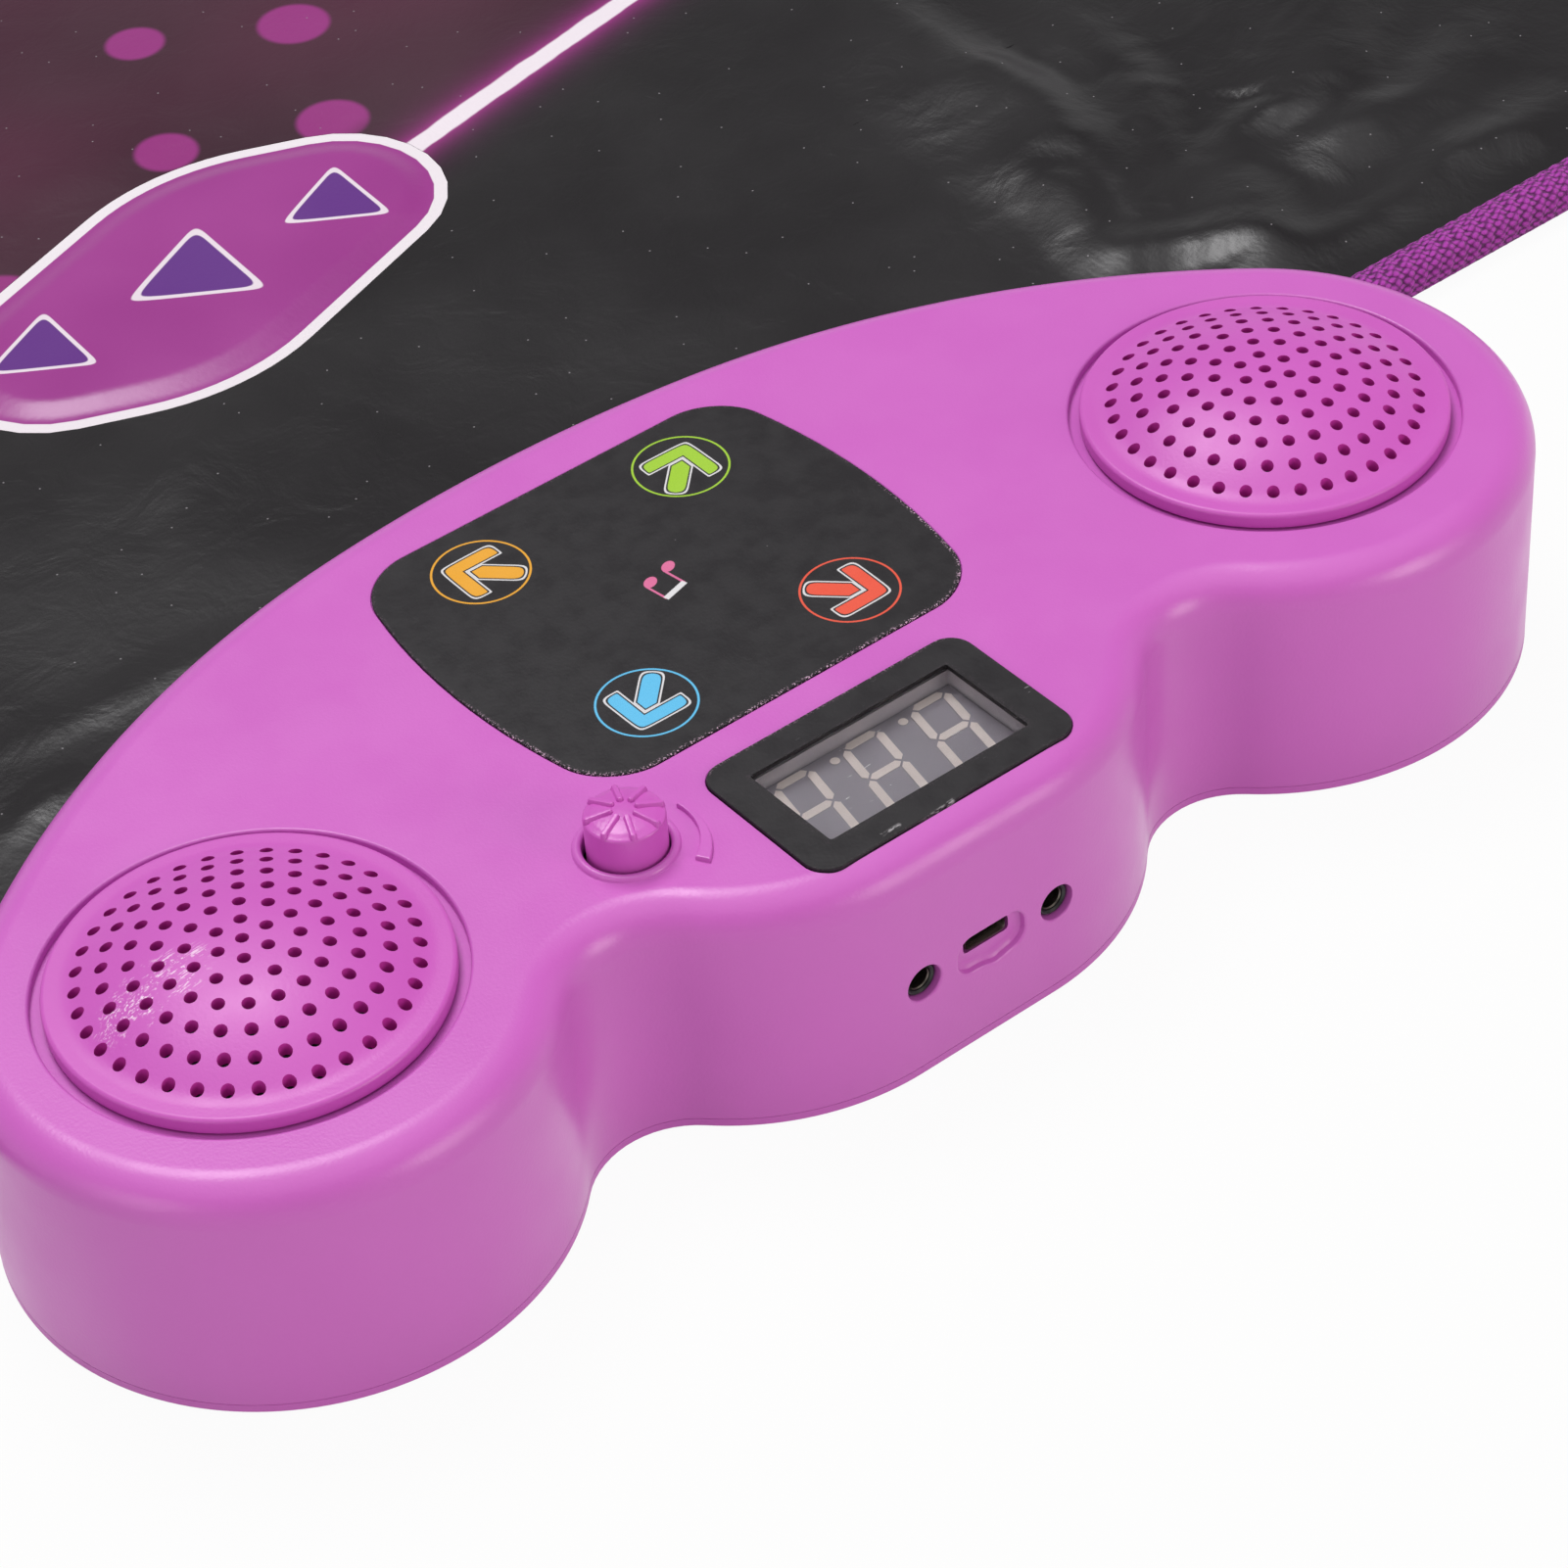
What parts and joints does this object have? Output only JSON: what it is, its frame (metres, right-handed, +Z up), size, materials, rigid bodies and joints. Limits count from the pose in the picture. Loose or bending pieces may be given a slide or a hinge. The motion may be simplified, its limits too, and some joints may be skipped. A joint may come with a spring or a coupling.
{
  "type": "electronic dance mat",
  "caption": "Folding step mat with foam step pads and a moulded sound console clamped to one edge: speakers, display, volume knob and sockets.",
  "frame": {"origin": "middle of the whole footprint, on the floor", "axes": "+Z up; +Y from the mat towards the console; +X to the right of a player who stands on the mat and faces the console"},
  "size_m": [0.9, 0.8878, 0.0496],
  "materials": {
    "purple_plastic": "satin moulded ABS",
    "black_film": "printed film",
    "black_plastic": "gloss",
    "clear_plastic": "clear",
    "grey_plastic": "matt",
    "white_plastic": "matt",
    "board_green": "solder mask",
    "steel": "plated",
    "cell_wrap": "printed sleeve",
    "paper_cone": "pressed paper",
    "rubber": "matt",
    "black_vinyl": "satin coated cloth",
    "backing_cloth": "non-slip dots",
    "foam": "closed-cell foam",
    "purple_tape": "woven",
    "led_red": "clear tinted",
    "led_blue": "clear tinted",
    "led_yellow": "clear tinted",
    "led_green": "clear tinted",
    "pad_red": "printed coated cloth over foam",
    "pad_blue": "printed coated cloth over foam",
    "pad_yellow": "printed coated cloth over foam",
    "pad_green": "printed coated cloth over foam",
    "pad_purple": "printed coated cloth over foam"
  },
  "bodies": {
    "console": {"console_top_shell": "purple_plastic", "console_base": "purple_plastic", "rubber_foot_1": "rubber", "rubber_foot_2": "rubber", "rubber_foot_3": "rubber", "rubber_foot_4": "rubber", "housing_screw_1": "steel", "housing_screw_2": "steel", "housing_screw_3": "steel", "housing_screw_4": "steel", "speaker_grille_left": "purple_plastic", "speaker_grille_right": "purple_plastic", "speaker_frame_left": "grey_plastic", "speaker_frame_right": "grey_plastic", "arrow_panel": "black_film", "display_bezel": "black_plastic", "display_window": "clear_plastic", "digit_display": "grey_plastic", "arrow_light_red": "led_red", "arrow_light_blue": "led_blue", "arrow_light_yellow": "led_yellow", "arrow_light_green": "led_green", "control_board": "board_green", "main_board": "board_green", "audio_jack_left": "black_plastic", "audio_jack_right": "black_plastic", "usb_socket": "steel", "mat_ribbon": "white_plastic", "ribbon_connector": "white_plastic", "volume_pot": "steel", "battery_cell_1": "cell_wrap", "battery_cell_2": "cell_wrap", "battery_cell_3": "cell_wrap", "battery_contact_front": "steel", "battery_contact_back": "steel", "mat_base_sheet_a": "backing_cloth", "mat_core_a": "foam", "mat_top_sheet_a": "black_vinyl", "edge_binding_a": "purple_tape"},
    "mat_middle": {"mat_base_sheet_b": "backing_cloth", "mat_core_b": "foam", "mat_top_sheet_b": "black_vinyl", "edge_binding_b_left": "purple_tape", "edge_binding_b_right": "purple_tape"},
    "mat_far": {"mat_base_sheet_c": "backing_cloth", "mat_core_c": "foam", "mat_top_sheet_c": "black_vinyl", "edge_binding_c": "purple_tape"},
    "start_pad": {"step_pad_start": "pad_purple"},
    "red_pad": {"step_pad_red": "pad_red"},
    "blue_pad": {"step_pad_blue": "pad_blue"},
    "yellow_pad": {"step_pad_yellow": "pad_yellow"},
    "green_pad": {"step_pad_green": "pad_green"},
    "knob": {"volume_knob": "purple_plastic", "volume_shaft": "steel"},
    "left_cone": {"speaker_cone_left": "paper_cone"},
    "right_cone": {"speaker_cone_right": "paper_cone"},
    "battery_cover": {"battery_door": "purple_plastic", "battery_door_screw": "steel"}
  },
  "joints": [
    {"name": "mat_fold_near", "type": "hinge", "parent": "console", "child": "mat_middle", "pos_m": [0, 0.08943, -0.0005], "axis": [1, 0, 0], "range_deg": [0, 180]},
    {"name": "mat_fold_far", "type": "hinge", "parent": "mat_middle", "child": "mat_far", "pos_m": [0, -0.17723, 0.0068], "axis": [-1, 0, 0], "range_deg": [0, 180]},
    {"name": "start_pad_press", "type": "slide", "parent": "console", "child": "start_pad", "axis": [0, 0, -1], "range_m": [0, 0.0012], "stiffness_N_per_m": 2000, "springref_m": -0.003},
    {"name": "red_pad_press", "type": "slide", "parent": "mat_middle", "child": "red_pad", "axis": [0, 0, -1], "range_m": [0, 0.0012], "stiffness_N_per_m": 3000, "springref_m": -0.004},
    {"name": "blue_pad_press", "type": "slide", "parent": "mat_middle", "child": "blue_pad", "axis": [0, 0, -1], "range_m": [0, 0.0012], "stiffness_N_per_m": 3000, "springref_m": -0.004},
    {"name": "yellow_pad_press", "type": "slide", "parent": "mat_far", "child": "yellow_pad", "axis": [0, 0, -1], "range_m": [0, 0.0012], "stiffness_N_per_m": 3000, "springref_m": -0.004},
    {"name": "green_pad_press", "type": "slide", "parent": "mat_far", "child": "green_pad", "axis": [0, 0, -1], "range_m": [0, 0.0012], "stiffness_N_per_m": 3000, "springref_m": -0.004},
    {"name": "volume_turn", "type": "hinge", "parent": "console", "child": "knob", "pos_m": [0.0397, 0.4146, 0.042], "axis": [0, 0, -1], "range_deg": [0, 300]},
    {"name": "left_cone_travel", "type": "slide", "parent": "console", "child": "left_cone", "axis": [0, 0, 1], "range_m": [-0.0005, 0.0005], "stiffness_N_per_m": 2000},
    {"name": "right_cone_travel", "type": "slide", "parent": "console", "child": "right_cone", "axis": [0, 0, 1], "range_m": [-0.0005, 0.0005], "stiffness_N_per_m": 2000},
    {"name": "battery_cover_tilt", "type": "hinge", "parent": "console", "child": "battery_cover", "pos_m": [0, 0.3633, 0.0005], "axis": [-1, 0, 0], "range_deg": [0, 70]}
  ]
}
